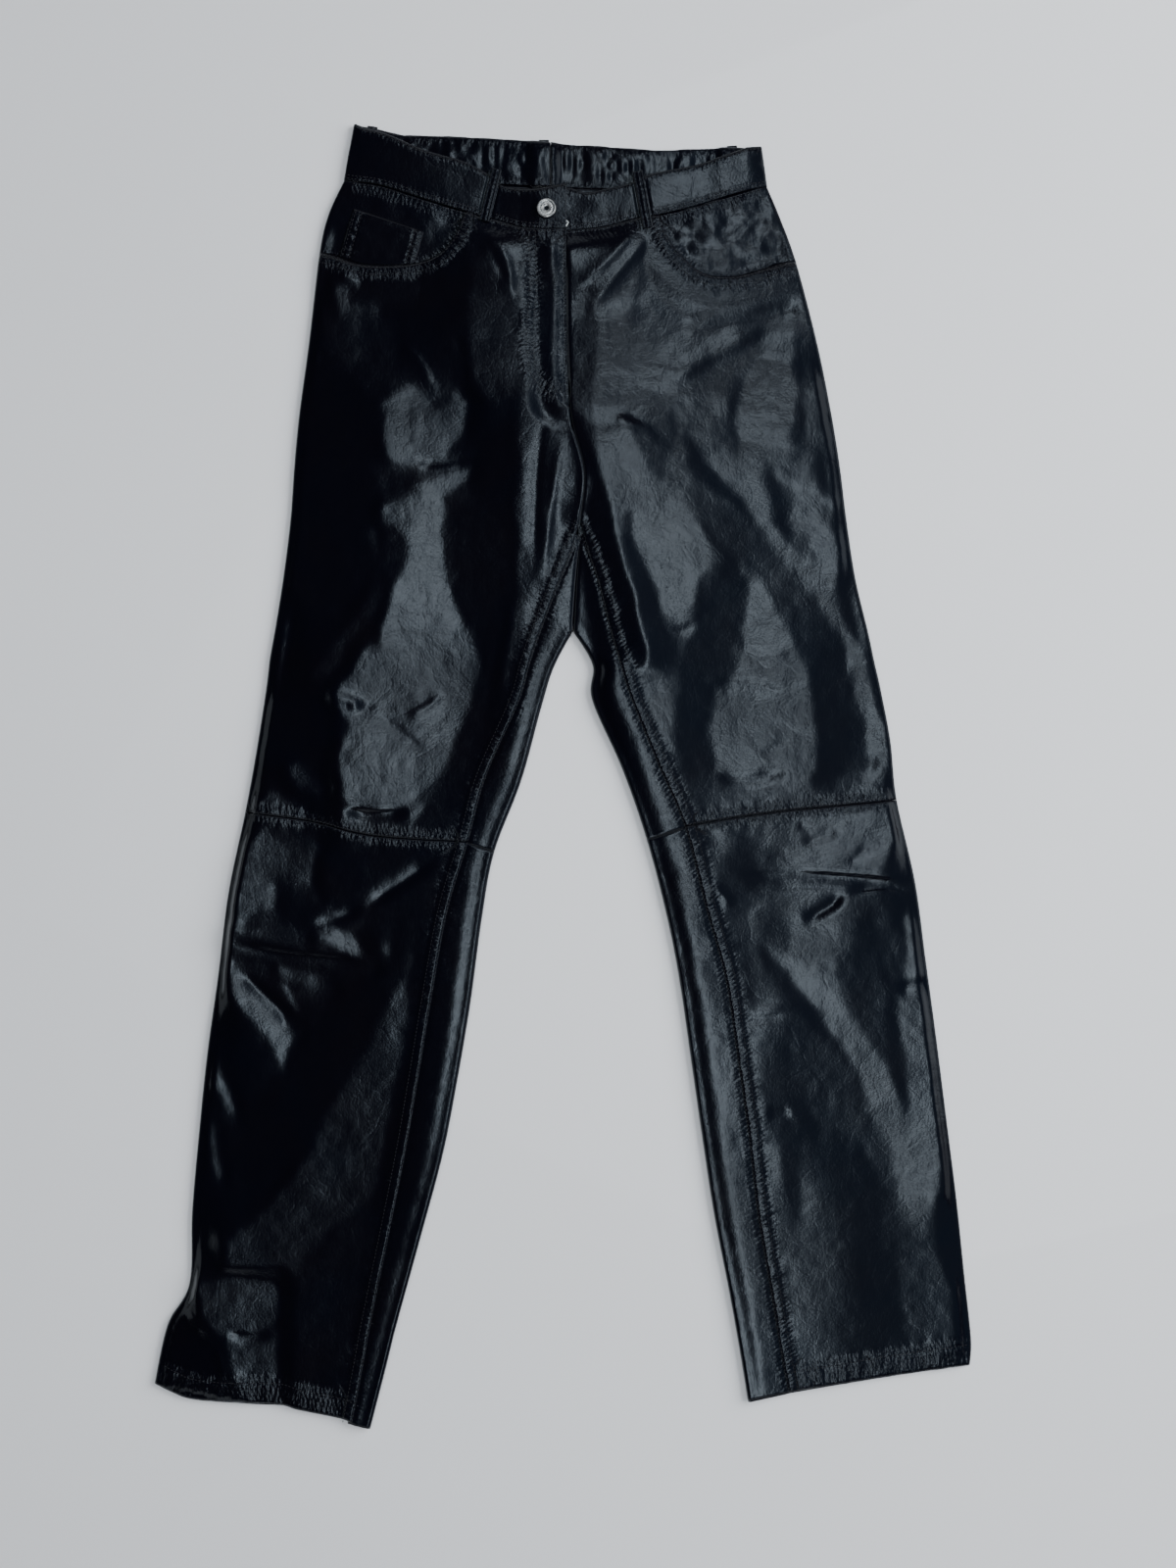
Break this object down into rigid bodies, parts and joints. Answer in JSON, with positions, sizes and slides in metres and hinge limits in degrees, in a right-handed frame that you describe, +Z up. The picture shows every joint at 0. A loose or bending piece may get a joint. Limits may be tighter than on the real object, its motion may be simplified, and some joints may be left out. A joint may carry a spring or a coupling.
{
  "type": "trousers",
  "caption": "Long leather trousers lying flat with the front up: waistband with belt loops, curved front pockets, button and zip fly, knee seams and felled inner leg seams.",
  "frame": {"origin": "the middle of the garment's outline, on the floor that it lies on", "axes": "+Y runs up the garment from the hems to the waist, +X to the viewer's right of its front, which is the wearer's left, and +Z up out of the front"},
  "size_m": [0.731, 1.167, 0.0139],
  "materials": {
    "leather": "black smooth leather with a soft sheen and fine grain",
    "zip_tape": "black woven tape",
    "metal": "plain silver-coloured metal"
  },
  "bodies": {
    "root": {"front_thigh_right": "leather", "front_thigh_left": "leather", "front_shin_right": "leather", "front_shin_left": "leather", "back_thigh_right": "leather", "back_thigh_left": "leather", "back_shin_right": "leather", "back_shin_left": "leather", "waistband_right": "leather", "waistband_left": "leather", "belt_loop_front_right": "leather", "belt_loop_front_left": "leather", "belt_loop_back_right": "leather", "belt_loop_back_center": "leather", "belt_loop_back_left": "leather", "pocket_facing_right": "leather", "pocket_facing_left": "leather", "coin_pocket": "leather", "zip_tape": "zip_tape", "zip_slider": "metal", "zip_pull": "metal", "button": "metal"}
  },
  "joints": []
}
